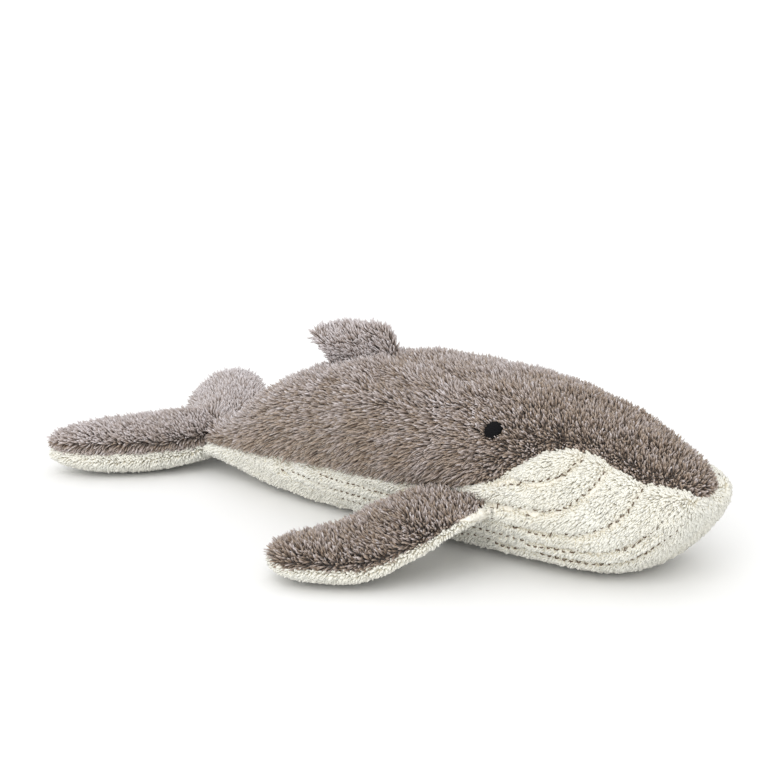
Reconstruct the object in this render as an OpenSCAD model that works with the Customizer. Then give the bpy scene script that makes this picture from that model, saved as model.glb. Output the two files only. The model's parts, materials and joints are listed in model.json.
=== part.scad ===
// Plush humpback whale, lying on its belly.
// +X points to the snout, +Y to the whale's left and +Z up. The origin is on the
// surface that the whale lies on, under the middle of its overall length.

/* [Body] */
// Length from the snout to the seam where the flukes begin
body_l = 375; // [320:1:450]
// Width at the widest place, just behind the cheeks
body_w = 138; // [115:1:166]
// Height of the back at its highest place
body_h = 110; // [92:1:132]
// Height of the tip of the snout
snout_z = 57; // [50:1:66]
// Length over which the head rounds off towards the snout
head_l = 146; // [120:1:176]
// Length over which the chin rounds off, seen from the side
chin_l = 65; // [50:1:80]
// Depth of the belly that lies pressed flat
belly_press = 3; // [2:0.5:6]
// Distance from the snout to where the flanks begin to narrow
narrow_from = 162; // [130:1:195]
// Distance from the snout to where the back begins to fall
fall_from = 216; // [180:1:240]
// Length over which the back falls to the tail stock
fall_l = 146; // [120:1:158]
// Distance from the snout to where the belly begins to rise
rise_from = 280; // [240:1:310]

/* [Tail] */
// Width of the tail stock where the flukes begin
tail_w = 56; // [46:1:68]
// Height of the top of the tail stock where the flukes begin
tail_top = 39; // [36:1:46]
// Height of the underside of the tail stock where the flukes begin
tail_under = 11; // [8:1:14]
// Distance from the snout to the upright line that the tail sways about
sway_from = 336; // [310:1:350]
// How much larger the radius of the round joint is than half the body's width there
sway_over = 8.1; // [6:0.1:18]
// Room between the trunk and the tail's round end
sway_gap = 1.6; // [1.4:0.1:3]

/* [Cloth and stuffing] */
// Thickness of the plush cloth with its pile lying down
cloth_t = 5; // [3:0.5:6]
// Room between two sewn edges, where the thread runs
seam_gap = 0.3; // [0.2:0.05:0.6]
// Room between the cloth and the stuffing
fill_gap = 2.4; // [2:0.1:3]
// Diameter of the thread inside the seams
seam_thread_d = 0.6; // [0.4:0.1:0.8]
// Diameter of the brown thread of the pleats
pleat_thread_d = 1.2; // [0.8:0.1:1.6]

/* [Dorsal fin] */
// Distance from the snout to the front of the fin's base
fin_from = 228; // [200:1:240]
// Length of the fin's base
fin_l = 56; // [46:1:66]
// Height of the fin above the back
fin_h = 21; // [17:1:26]
// Thickness of the fin
fin_t = 19; // [15:1:24]
// Distance that the fin leans back
fin_sweep = 26; // [14:1:32]
// Room between the back and the fin's base
fin_gap = 3; // [2.5:0.1:5]

/* [Flippers] */
// Distance from the snout to the middle of the flipper's root
flipper_from = 140; // [120:1:165]
// Height of the middle of the flipper's root
flipper_root_z = 43; // [36:1:48]
// Length of the flipper from root to tip
flipper_l = 110; // [90:1:132]
// Width of the flipper
flipper_w = 64; // [53:1:77]
// Thickness of the flipper
flipper_t = 31; // [25:1:38]
// How far the front edge swells forward near the root
flipper_fore = 15; // [6:0.5:18]
// Angle that the flipper is swept back by
flipper_sweep = 37; // [20:1:45]
// Height of the middle of the flipper's tip
flipper_tip_z = 15.5; // [12:0.5:20]
// Angle that the flipper's root is rolled by, its front edge up
flipper_roll = 14; // [0:1:20]
// Room between the flank and the flipper's root
flipper_gap = 4; // [3:0.5:7]

/* [Flukes] */
// Width from one fluke tip to the other
flukes_w = 190; // [158:1:228]
// Width of the flukes in the middle, front to back
flukes_mid_l = 50; // [40:1:60]
// Width of each fluke at its widest, front to back
fluke_l = 72; // [60:1:86]
// Distance that the tips are swept back
flukes_sweep = 57; // [46:1:70]
// Thickness of each fluke
fluke_t = 38; // [32:1:42]
// Thickness of the flukes in the middle
flukes_mid_t = 34; // [28:1:38]
// Height of the middle of the flukes where they join the tail
flukes_z = 22; // [20:1:28]
// Height of the middle of the fluke tips
fluke_tip_z = 19.2; // [16:0.1:24]
// Room between the tail stock and the flukes
flukes_gap = 1.5; // [1:0.1:3]

/* [Eyes] */
// Distance from the snout to the middle of the eye
eye_from = 118; // [100:1:140]
// Height of the middle of the eye
eye_z = 88; // [80:1:94]
// Diameter of the embroidered eye
eye_d = 10.5; // [8:0.5:13]
// Height of the padded satin stitch above the cloth
eye_rise = 1.6; // [1:0.1:2.5]

/* [Hidden] */

GREY = "#9d938a";
CREAM = "#e2e0d4";
WADDING = "#f4f3ee";
GREY_THREAD = "#8b8178";
BROWN_THREAD = "#6f5b49";
BLACK_THREAD = "#141316";

// How far the rearmost part of the flukes is behind the tail stock
flukes_reach = max([for (k = [0:40]) flukes_gap + flukes_mid_l / 2
    + fluke_centre_back(k / 40) + fluke_half_l(k / 40)]);
snout_x = (body_l + flukes_reach) / 2;
tail_x = snout_x - body_l;
sway_x = snout_x - sway_from;

// Squareness of the body's cross-section, below 1 is fuller than an ellipse
SECTION_POWER = 0.9;
// Height of a cross-section's widest place, as a share of its height
WIDEST = 0.42;
// Shape of the narrowing towards the snout, from above, in profile and at the chin
HEAD_POWER = 2.7;
BROW_POWER = 1.68;
CHIN_POWER = 2.2;
// Shape of the narrowing towards the tail, from above and underneath
FLANK_POWER = 1.7;
RISE_POWER = 1.9;
// Shape of the fall of the back, at its start and at its end
FALL_POWER = 1.35;
FALL_END = 0.62;
// The first ring of the body is this far behind the tip of the snout
TIP = 0.005;
// How the rings crowd towards the snout
CROWD = 2.2;

// The side seam: share of the body's length behind the snout, share of the height.
// It climbs from the lips to the top of the cheek and falls to the flank.
SEAM = [[0, 0.527], [0.012, 0.573], [0.04, 0.613], [0.083, 0.662], [0.13, 0.735],
    [0.172, 0.773], [0.215, 0.745], [0.255, 0.645], [0.315, 0.51], [0.4, 0.44],
    [0.5, 0.405], [0.71, 0.33], [1, 0.245]];

// The pleats: distance behind the snout where each leaves the lips, its height along
// the throat as a share of the body's, and the distance where it meets the seam again
PLEATS = [[58, 0.545, 112], [42, 0.4, 172], [21, 0.28, 268], [6, 0.19, 292],
    [2, 0.11, 302]];
// How far a pleat takes to turn from downward to backward, and to climb to the seam
PLEAT_TURN = 38;
PLEAT_CLIMB = 46;
// The ends of a pleat are this far below the side seam, and its points, crowded towards
// the lips, are this far apart on average and this deep in the pile
PLEAT_BELOW = 2;
PLEAT_STEP = 10;
PLEAT_CROWD = 1.7;
PLEAT_SUNK = 0.2;

// Rows and columns of the grids that the pieces are made of
BODY_ROWS = 24;
BACK_COLUMNS = 9;
BELLY_COLUMNS = 12;
TAIL_ROWS = 8;
FILL_ROWS = 16;
FILL_COLUMNS = 18;
TAIL_FILL_ROWS = 18;
TAIL_CROWD = 1.4;
FIN_ROWS = 7;
FIN_COLUMNS = 8;
FLIPPER_ROWS = 9;
FLUKE_ROWS = 20;
THREAD_STEP = 9;

// ---- shapes of curves ----

function ease(u) = let (s = min(1, max(0, u))) s * s * (3 - 2 * s);
function power(u, p) = u <= 0 ? 0 : pow(u, p);
// A rounded end: 0 at the tip, rising to 1 at distance l behind it
function rounded(d, l, p) = power(1 - power(1 - min(1, max(0, d / l)), p), 1 / p);
// Size left inside a layer of thickness i, never less than a third
function inside(size, i) = max(size - i, size * 0.34);
function unit(v) = v / norm(v);

function seam_row(s, k = 0) = s <= SEAM[k + 1][0] || k == len(SEAM) - 2 ? k
    : seam_row(s, k + 1);
function seam_slope(k) = k <= 0 || k >= len(SEAM) - 1 ? 0
    : let (a = (SEAM[k][1] - SEAM[k - 1][1]) / (SEAM[k][0] - SEAM[k - 1][0]),
           b = (SEAM[k + 1][1] - SEAM[k][1]) / (SEAM[k + 1][0] - SEAM[k][0]))
      a * b <= 0 ? 0 : 2 * a * b / (a + b);
function seam_share(s) =
    let (k = seam_row(s), step = SEAM[k + 1][0] - SEAM[k][0],
         u = (s - SEAM[k][0]) / step)
    SEAM[k][1] * (1 + 2 * u) * (1 - u) * (1 - u) + SEAM[k + 1][1] * u * u * (3 - 2 * u)
    + step * seam_slope(k) * u * (1 - u) * (1 - u)
    + step * seam_slope(k + 1) * u * u * (u - 1);
function seam_z(x) = body_h * seam_share((snout_x - x) / body_l);

// ---- the body's cross-section at x, a layer of thickness i inside ----

// How far the back has fallen at share s of its fall: evenly, then steeply at the end
function fallen(s) = 1 - power(1 - power(min(1, s), FALL_POWER), FALL_END);
function half_w(x, i) =
    (body_w / 2 - i) * rounded(snout_x - i - x, head_l - i, HEAD_POWER)
    - (body_w - tail_w) / 2
    * power((snout_x - narrow_from - x) / (body_l - narrow_from), FLANK_POWER);
function top_z(x, i) =
    snout_z + (body_h - snout_z - i) * rounded(snout_x - i - x, head_l - i, BROW_POWER)
    - (body_h - tail_top) * fallen((snout_x - fall_from - x + i / 2) / fall_l);
function under_z(x, i) =
    snout_z - (snout_z + belly_press - i) * rounded(snout_x - i - x, chin_l - i, CHIN_POWER)
    + (tail_under + belly_press)
    * power((snout_x - rise_from - x) / (body_l - rise_from), RISE_POWER);
function widest_z(x, i) = under_z(x, i) + WIDEST * (top_z(x, i) - under_z(x, i));

// Point of the left half of the cross-section, from -90 underneath to 90 on top
function body_point(x, a, i) =
    let (m = widest_z(x, i),
         z = a > 0 ? m + (top_z(x, i) - m) * power(sin(a), SECTION_POWER)
                   : m - (m - under_z(x, i)) * power(sin(-a), SECTION_POWER))
    [x, half_w(x, i) * power(cos(a), SECTION_POWER), max(z, i)];
function angle_at_z(x, z, i) =
    let (m = widest_z(x, i), up = z > m,
         share = up ? (z - m) / (top_z(x, i) - m) : (m - z) / (m - under_z(x, i)),
         a = asin(min(0.995, power(share, 1 / SECTION_POWER))))
    up ? a : -a;
function angle_at_y(x, y, i) = acos(min(0.5, power(y / half_w(x, i), 1 / SECTION_POWER)));

// Points across the back, from its middle to the side seam, and across the belly,
// from the left seam to the right one
function back_point(x, v, i) =
    let (a = angle_at_y(x, seam_gap / 2, i), b = angle_at_z(x, seam_z(x) + seam_gap / 2, i))
    body_point(x, a + (b - a) * v, i);
function belly_point(x, v, i) =
    let (side = v < 0.5 ? 1 : -1,
         a = angle_at_z(x, seam_z(x) - seam_gap / 2, i),
         p = body_point(x, a + (-90 - a) * (1 - abs(2 * v - 1)), i))
    [p[0], side * p[1], p[2]];
function round_point(x, v, i) =
    let (a = 90 - 360 * v, q = a >= -90 ? a : -180 - a, side = a >= -90 ? 1 : -1,
         p = body_point(x, q, i))
    [p[0], side * p[1], p[2]];

across_back = function (x, v, i) back_point(x, v, i);
across_belly = function (x, v, i) belly_point(x, v, i);

// Radius of the round end on which the tail turns
sway_r = half_w(sway_x, 0) + sway_over;

// Where a line along the body meets the upright round face of radius r
function round_end(across, v, i, r, x, steps = 5) =
    let (y = across(x, v, i)[1], next = sway_x + sqrt(max(1, r * r - y * y)))
    steps == 0 ? next : round_end(across, v, i, r, next, steps - 1);

function trunk_point(across, u, v, i) =
    let (end = round_end(across, v, i, sway_r + sway_gap, sway_x + sway_r),
         start = snout_x - i - TIP)
    across(start - (start - end) * pow(u, CROWD), v, i);
function tail_point(across, u, v, i) =
    let (start = round_end(across, v, i, sway_r, sway_x + sway_r))
    across(start + (tail_x - start) * u, v, i);

// ---- solids from grids of points ----

function flat(rows) = [for (row = rows) each row];
function quad(a, b, c, d) = [[a, b, c], [a, c, d]];
function total(list) = list * [for (k = list) 1];
// Six times the volume inside the faces, below 0 when they face outward
function signed(points, faces) = total([for (f = faces) for (k = [1:len(f) - 2])
    points[f[0]] * cross(points[f[k]], points[f[k + 1]])]);
function reverse(f) = [for (k = [len(f) - 1:-1:0]) f[k]];

// A polyhedron whose faces are turned outward
module solid(points, faces) {
    polyhedron(points, signed(points, faces) < 0 ? faces : [for (f = faces) reverse(f)]);
}

// A layer of cloth between the outer and inner points of skin(u, v, depth)
module cloth(skin, rows, columns, u_end = 1) {
    n = columns + 1;
    outer = [for (i = [0:rows]) [for (j = [0:columns]) skin(u_end * i / rows, j / columns, 0)]];
    inner = [for (i = [0:rows])
        [for (j = [0:columns]) skin(u_end * i / rows, j / columns, cloth_t)]];
    k = (rows + 1) * n;
    faces = [
        for (i = [0:rows - 1]) for (j = [0:columns - 1])
            each concat(quad(i * n + j, (i + 1) * n + j, (i + 1) * n + j + 1, i * n + j + 1),
                quad(k + i * n + j, k + i * n + j + 1, k + (i + 1) * n + j + 1,
                    k + (i + 1) * n + j)),
        for (i = [0:rows - 1])
            each concat(quad(i * n, k + i * n, k + (i + 1) * n, (i + 1) * n),
                quad(i * n + columns, (i + 1) * n + columns, k + (i + 1) * n + columns,
                    k + i * n + columns)),
        for (j = [0:columns - 1])
            each concat(quad(j, j + 1, k + j + 1, k + j),
                quad(rows * n + j, k + rows * n + j, k + rows * n + j + 1,
                    rows * n + j + 1))];
    solid(concat(flat(outer), flat(inner)), faces);
}

// A closed solid through rings of points, with a flat face at each end
module lofted(rings) {
    n = len(rings[0]);
    last = len(rings) - 1;
    faces = [
        for (i = [0:last - 1]) for (j = [0:n - 1])
            each quad(i * n + j, (i + 1) * n + j, (i + 1) * n + (j + 1) % n,
                i * n + (j + 1) % n),
        [for (j = [0:n - 1]) j],
        [for (j = [n - 1:-1:0]) last * n + j]];
    solid(flat(rings), faces);
}

// A thread of diameter d along a path
module thread(path, d, sides = 4) {
    rings = [for (i = [0:len(path) - 1])
        let (along = unit(path[min(i + 1, len(path) - 1)] - path[max(i - 1, 0)]),
             across = unit(cross(along, [0.05, 0.1, abs(along[2]) > 0.9 ? 0 : 1])),
             up = cross(across, along))
        [for (k = [0:sides - 1]) let (a = 45 + 360 * k / sides)
            path[i] + d / 2 * (cos(a) * across + sin(a) * up)]];
    lofted(rings);
}

module left_to_right() {
    mirror([0, 1, 0]) children();
}

// ---- trunk ----

module back_panel() {
    color(GREY) cloth(function (u, v, i) trunk_point(across_back, u, v, i),
        BODY_ROWS, BACK_COLUMNS);
}

module belly_panel() {
    color(CREAM) cloth(function (u, v, i) trunk_point(across_belly, u, v, i),
        BODY_ROWS, BELLY_COLUMNS);
}

module body_filling() {
    depth = cloth_t + fill_gap;
    start = snout_x - depth - TIP;
    end = sway_x + sway_r + sway_gap;
    rings = [for (k = [0:FILL_ROWS])
        let (x = start - (start - end) * pow(k / FILL_ROWS, CROWD))
        [for (j = [0:FILL_COLUMNS - 1]) round_point(x, j / FILL_COLUMNS, depth)]];
    color(WADDING) lofted(rings);
}

// Distances from start to end in steps of about THREAD_STEP
function stations(start, end) = let (n = ceil(abs(end - start) / THREAD_STEP))
    [for (k = [0:n]) start + (end - start) * k / n];

thread_depth = cloth_t + fill_gap / 2;
// The seam threads begin this far behind the snout, where there is room for them
THREAD_FROM = 16;

function side_seam_path(start, end) = [for (x = stations(start, end))
    body_point(x, angle_at_z(x, seam_z(x), thread_depth), thread_depth)];
function back_seam_path(start, end) = [for (x = stations(start, end))
    [x, 0, top_z(x, thread_depth)]];

module back_seam_thread() {
    color(GREY_THREAD) thread(back_seam_path(snout_x - THREAD_FROM,
        sway_x + sway_r + 2 * sway_gap), seam_thread_d);
}

module side_seam_thread() {
    color(GREY_THREAD) thread(side_seam_path(snout_x - THREAD_FROM,
        sway_x + sway_r + 2 * sway_gap), seam_thread_d);
}

// Depth of a pleat below the side seam: down and back from the lips, level, up again
function pleat_z(pleat, d) =
    let (level = body_h * pleat[1],
         turn = rounded(d - pleat[0], PLEAT_TURN, 2),
         climb = rounded(pleat[2] - d, PLEAT_CLIMB, 2),
         seam = seam_z(snout_x - d) - PLEAT_BELOW)
    seam - max(0, seam - level) * min(turn, climb);
function pleat_path(pleat) =
    let (n = ceil((pleat[2] - pleat[0]) / PLEAT_STEP))
    [for (k = [0:n])
        let (d = pleat[0] + (pleat[2] - pleat[0]) * pow(k / n, PLEAT_CROWD),
             x = snout_x - d)
        body_point(x, angle_at_z(x, pleat_z(pleat, d), PLEAT_SUNK), PLEAT_SUNK)];

module pleat_thread() {
    color(BROWN_THREAD) for (pleat = PLEATS) thread(pleat_path(pleat), pleat_thread_d);
}

// The eye is a low dome of satin stitch, set square to the cheek
module eye() {
    x = snout_x - eye_from;
    a = angle_at_z(x, eye_z, 0);
    p = body_point(x, a, 0);
    along = body_point(x + 2, angle_at_z(x + 2, eye_z, 0), 0) - p;
    down = body_point(x, a - 2, 0) - p;
    out = unit(cross(down, along));
    outward = out[1] > 0 ? out : -out;
    ball_r = (pow(eye_d / 2, 2) + pow(eye_rise, 2)) / (2 * eye_rise);
    color(BLACK_THREAD) translate(p) rotate([0, acos(outward[2]), atan2(outward[1], outward[0])])
        translate([0, 0, -eye_rise / 2]) rotate_extrude($fn = 32)
            intersection() {
                square([eye_d, eye_rise]);
                translate([0, eye_rise - ball_r]) circle(ball_r, $fn = 96);
            }
}

// ---- tail ----

module tail_back_panel() {
    color(GREY) cloth(function (u, v, i) tail_point(across_back, u, v, i),
        TAIL_ROWS, BACK_COLUMNS);
}

module tail_belly_panel() {
    color(CREAM) cloth(function (u, v, i) tail_point(across_belly, u, v, i),
        TAIL_ROWS, BELLY_COLUMNS);
}

module tail_filling() {
    depth = cloth_t + fill_gap;
    front = sway_x + sway_r - fill_gap;
    end = tail_x + fill_gap;
    rings = [for (k = [0:TAIL_FILL_ROWS])
        let (x = front - (front - end) * pow(k / TAIL_FILL_ROWS, TAIL_CROWD),
            reach = sqrt(max(1, pow(sway_r - fill_gap / 2, 2) - pow(max(0, x - sway_x), 2))))
        [for (j = [0:FILL_COLUMNS - 1]) let (p = round_point(x, j / FILL_COLUMNS, depth))
            [p[0], p[1] * min(1, reach / half_w(x, depth)), p[2]]]];
    color(WADDING) lofted(rings);
}

module tail_seam_thread() {
    start = sway_x + sway_r * 0.3;
    end = tail_x + seam_thread_d;
    color(GREY_THREAD) {
        thread(back_seam_path(sway_x + sway_r - 2 * sway_gap, end), seam_thread_d);
        thread(side_seam_path(start, end), seam_thread_d);
        left_to_right() thread(side_seam_path(start, end), seam_thread_d);
    }
}

// ---- fins: a root, thin where it is sewn on, that fills out and rounds off ----

function tip_round(u, p) = sqrt(max(0, 1 - pow(u, p)));
function spread(u) = 1 - pow(1 - u, 1.6);
FIN_END = 0.992;
ROOT_HALF_T = 2.5;
// Squareness of a fin's cross-section, and of its tip seen from above and from the side
FIN_POWER = 0.85;
TIP_POWER = 5;
// The stuffing of a fin is this far inside the cloth, or this share of its width
fin_fill_gap = fill_gap + 2 * seam_thread_d;
MOST_SHRUNK = 0.6;
// Shares of a fin's length between which its stuffing and its seam thread run
FILL_FROM = 0.12;
FILL_TO = 0.82;
DORSAL_FILL_TO = 0.62;
FLUKES_FILL_TO = 0.88;
THREAD_TO = 0.93;

// Point of a fin's cross-section: a from 0 at the front edge to 180 at the rear one
function fin_section(half_l, half_t, a, side, i, gap) =
    [inside(half_l, i) * cos(a), side * (gap + inside(half_t, i) * power(sin(a), FIN_POWER))];

// The base of the dorsal fin follows the back, and the rest of it the straight line
// through the base's ends
fin_front_x = snout_x - fin_from;
fin_rear_x = fin_front_x - fin_l;
fin_front_z = top_z(fin_front_x, 0);
fin_slope = (fin_front_z - top_z(fin_rear_x, 0)) / fin_l;

// Dorsal fin: u up the fin, side 1 for the left
function dorsal_point(u, v, i, side, gap) =
    let (s = spread(u), section = fin_section(
            fin_l / 2 * tip_round(s, 3.6),
            (ROOT_HALF_T + (fin_t / 2 - ROOT_HALF_T) * ease(s / 0.5)) * tip_round(s, TIP_POWER),
            180 * v, side, i, gap),
         x = fin_front_x - fin_l / 2 + section[0] - fin_sweep * sin(90 * s),
         foot = min(fin_front_x, max(fin_rear_x, x)),
         straight = fin_front_z + (x - fin_front_x) * fin_slope,
         bent = top_z(foot, 0) + (x - foot) * fin_slope,
         up = fin_gap + s * (fin_h - i / 2))
    [x, section[1], bent + (straight - bent) * ease(s / 0.6) + up];

// Flipper, left side: u out along it, side 1 for its top
function flipper_root() =
    let (x = snout_x - flipper_from,
         p = body_point(x, angle_at_z(x, flipper_root_z, 0), 0))
    [x, p[1] + flipper_gap, flipper_root_z];
function flipper_point(u, v, i, side, gap) =
    let (s = spread(u), section = fin_section(
            flipper_w / 2 * (0.86 + 0.14 * ease(s / 0.3)) * tip_round(s, 7),
            (ROOT_HALF_T + (flipper_t / 2 - ROOT_HALF_T) * ease(s / 0.34)) * tip_round(s, TIP_POWER),
            180 * v, side, i, gap),
         out = s * (flipper_l - i),
         slant = cos(flipper_sweep), back = sin(flipper_sweep),
         lean = ease(s / 0.5),
         fore = flipper_fore * max(0, cos(180 * v)) * sin(30 + 150 * min(1, s / 0.8)),
         drop = (flipper_root_z - flipper_tip_z) * ease(s / 0.62))
    flipper_root() + [section[0] * (1 + (slant - 1) * lean) + fore - out * back,
        out * slant + section[0] * back * lean,
        section[1] - drop + section[0] * tan(flipper_roll) * (1 - ease(s / 0.6))];

// Flukes: v runs from the left tip to the right one
function fluke_centre_back(w) = flukes_sweep * pow(w, 1.1);
function fluke_half_l(w) = (flukes_mid_l + (fluke_l - flukes_mid_l) * ease(w / 0.34))
    / 2 * tip_round(w, 4.5);
function fluke_half_t(w) = (flukes_mid_t + (fluke_t - flukes_mid_t) * ease(w / 0.5))
    / 2 * tip_round(w, TIP_POWER);
function flukes_point(u, v, i, side, gap) =
    let (t = 2 * u - 1, w = min(0.997, spread(abs(t))),
         section = fin_section(fluke_half_l(w), fluke_half_t(w), 180 * v, side, i, gap))
    [tail_x - flukes_gap - flukes_mid_l / 2 - fluke_centre_back(w) + section[0],
     -sign(t) * w * (flukes_w / 2 - i),
     flukes_z + (fluke_tip_z - flukes_z) * ease(w / 0.6) + section[1]];

// The stuffing of a fin: both halves of the section, a gap inside the cloth
function shrunk(point, core, amount) =
    point + min(MOST_SHRUNK, amount / max(norm(core - point), 0.01)) * (core - point);
function fin_rings(skin, rows, from, to) = [for (i = [0:rows])
    let (u = from + (to - from) * i / rows,
         core = (skin(u, 0, cloth_t, 1, 0) + skin(u, 1, cloth_t, 1, 0)) / 2)
    [for (j = [0:2 * FIN_COLUMNS - 1])
        let (k = j <= FIN_COLUMNS ? j : 2 * FIN_COLUMNS - j,
             side = j <= FIN_COLUMNS ? 1 : -1)
        shrunk(skin(u, k / FIN_COLUMNS, cloth_t, side, 0), core, fin_fill_gap)]];
// The thread of a fin's seam: out along its front edge and back along the rear one
function fin_seam_path(skin, from, to, rows) = concat(
    [for (i = [0:rows]) skin(from + (to - from) * i / rows, 0, thread_depth, 1, 0)],
    [for (i = [rows:-1:0]) skin(from + (to - from) * i / rows, 1, thread_depth, 1, 0)]);

dorsal = function (u, v, i, side, gap) dorsal_point(u, v, i, side, gap);
flipper = function (u, v, i, side, gap) flipper_point(u, v, i, side, gap);
flukes = function (u, v, i, side, gap) flukes_point(u, v, i, side, gap);

module dorsal_fin_panel() {
    color(GREY) cloth(function (u, v, i) dorsal_point(u, v, i, 1, seam_gap / 2),
        FIN_ROWS, FIN_COLUMNS, FIN_END);
}

module dorsal_fin_filling() {
    color(WADDING) lofted(fin_rings(dorsal, FIN_ROWS, FILL_FROM, DORSAL_FILL_TO));
}

module dorsal_fin_seam_thread() {
    color(GREY_THREAD) thread(fin_seam_path(dorsal, FILL_FROM, THREAD_TO, FIN_ROWS), seam_thread_d);
}

module flipper_top_panel() {
    color(GREY) cloth(function (u, v, i) flipper_point(u, v, i, 1, seam_gap / 2),
        FLIPPER_ROWS, FIN_COLUMNS, FIN_END);
}

module flipper_under_panel() {
    color(CREAM) cloth(function (u, v, i) flipper_point(u, v, i, -1, seam_gap / 2),
        FLIPPER_ROWS, FIN_COLUMNS, FIN_END);
}

module flipper_filling() {
    color(WADDING) lofted(fin_rings(flipper, FLIPPER_ROWS, FILL_FROM, FILL_TO));
}

module flipper_seam_thread() {
    color(GREY_THREAD) thread(fin_seam_path(flipper, FILL_FROM, THREAD_TO, FIN_ROWS), seam_thread_d);
}

module flukes_top_panel() {
    color(GREY) cloth(function (u, v, i) flukes_point(u, v, i, 1, seam_gap / 2),
        FLUKE_ROWS, FIN_COLUMNS);
}

module flukes_under_panel() {
    color(CREAM) cloth(function (u, v, i) flukes_point(u, v, i, -1, seam_gap / 2),
        FLUKE_ROWS, FIN_COLUMNS);
}

module flukes_filling() {
    color(WADDING) lofted(fin_rings(flukes, FLUKE_ROWS, 1 - FLUKES_FILL_TO, FLUKES_FILL_TO));
}

module flukes_seam_thread() {
    color(GREY_THREAD) thread(fin_seam_path(flukes, 1 - THREAD_TO, THREAD_TO, FLUKE_ROWS), seam_thread_d);
}

left_to_right() back_panel();  // back_panel_right
back_panel();  // back_panel_left
belly_panel();
body_filling();
back_seam_thread();
left_to_right() side_seam_thread();  // side_seam_thread_right
side_seam_thread();  // side_seam_thread_left
left_to_right() pleat_thread();  // pleat_thread_right
pleat_thread();  // pleat_thread_left
left_to_right() eye();  // eye_right
eye();  // eye_left
left_to_right() tail_back_panel();  // tail_back_panel_right
tail_back_panel();  // tail_back_panel_left
tail_belly_panel();
tail_filling();
tail_seam_thread();
left_to_right() dorsal_fin_panel();  // dorsal_fin_panel_right
dorsal_fin_panel();  // dorsal_fin_panel_left
dorsal_fin_filling();
dorsal_fin_seam_thread();
left_to_right() flipper_top_panel();  // flipper_right_top_panel
left_to_right() flipper_under_panel();  // flipper_right_under_panel
left_to_right() flipper_filling();  // flipper_right_filling
left_to_right() flipper_seam_thread();  // flipper_right_seam_thread
flipper_top_panel();  // flipper_left_top_panel
flipper_under_panel();  // flipper_left_under_panel
flipper_filling();  // flipper_left_filling
flipper_seam_thread();  // flipper_left_seam_thread
flukes_top_panel();
flukes_under_panel();
flukes_filling();
flukes_seam_thread();
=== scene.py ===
"""Plush humpback whale: a stuffed body and fins under a soft pile, with stitched pleats."""

import json
import math

import bmesh
import bpy
import numpy as np
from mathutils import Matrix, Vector
from mathutils.bvhtree import BVHTree

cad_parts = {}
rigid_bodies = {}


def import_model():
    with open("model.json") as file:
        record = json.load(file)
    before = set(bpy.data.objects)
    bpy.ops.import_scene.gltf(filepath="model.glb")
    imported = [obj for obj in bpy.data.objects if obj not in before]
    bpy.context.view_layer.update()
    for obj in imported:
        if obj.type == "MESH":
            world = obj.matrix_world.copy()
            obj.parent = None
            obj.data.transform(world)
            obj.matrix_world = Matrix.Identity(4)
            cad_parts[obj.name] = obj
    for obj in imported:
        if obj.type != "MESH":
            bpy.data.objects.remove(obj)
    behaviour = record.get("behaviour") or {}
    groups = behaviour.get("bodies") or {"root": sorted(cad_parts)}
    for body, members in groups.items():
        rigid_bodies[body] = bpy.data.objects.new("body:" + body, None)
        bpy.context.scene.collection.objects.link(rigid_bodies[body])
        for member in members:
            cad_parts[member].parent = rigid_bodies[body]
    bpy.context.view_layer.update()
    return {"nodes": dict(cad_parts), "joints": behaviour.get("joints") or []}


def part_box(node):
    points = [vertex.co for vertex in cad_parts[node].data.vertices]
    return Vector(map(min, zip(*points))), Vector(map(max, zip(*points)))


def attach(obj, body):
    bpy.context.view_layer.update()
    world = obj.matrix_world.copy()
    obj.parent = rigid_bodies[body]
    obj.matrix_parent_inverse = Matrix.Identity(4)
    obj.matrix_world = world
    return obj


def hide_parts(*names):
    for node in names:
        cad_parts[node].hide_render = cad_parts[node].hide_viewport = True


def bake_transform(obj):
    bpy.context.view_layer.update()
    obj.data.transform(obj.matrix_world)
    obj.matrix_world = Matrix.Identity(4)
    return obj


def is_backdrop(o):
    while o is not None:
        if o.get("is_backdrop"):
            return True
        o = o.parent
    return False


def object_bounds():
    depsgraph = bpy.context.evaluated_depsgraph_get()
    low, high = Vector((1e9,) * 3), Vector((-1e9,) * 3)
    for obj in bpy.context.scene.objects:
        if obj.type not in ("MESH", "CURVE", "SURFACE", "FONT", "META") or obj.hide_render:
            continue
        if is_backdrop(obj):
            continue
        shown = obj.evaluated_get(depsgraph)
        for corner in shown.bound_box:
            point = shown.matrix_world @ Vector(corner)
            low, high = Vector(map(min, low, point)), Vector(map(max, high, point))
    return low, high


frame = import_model()
NODES = frame["nodes"]
JOINTS = {j["name"]: j for j in frame["joints"]}

MM = 0.001
FLOOR_GAP = 0.8 * MM
SNOUT_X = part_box("belly_panel")[1].x
TAIL_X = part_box("tail_belly_panel")[0].x
FIN_FRONT_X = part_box("dorsal_fin_panel_right")[1].x
SIDES = {"right": -1, "left": 1}

# ---- camera, floor and light ----

CAMERA_TURN, CAMERA_RISE = math.radians(38), math.radians(16.5)
CAMERA_FAR = 1.3769
CAMERA_LENS = 98.15
CAMERA_SHIFT = (-0.0089, 0.0654)
LOOK_AT = Vector((SNOUT_X - 0.236, 0, 0.050))


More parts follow.
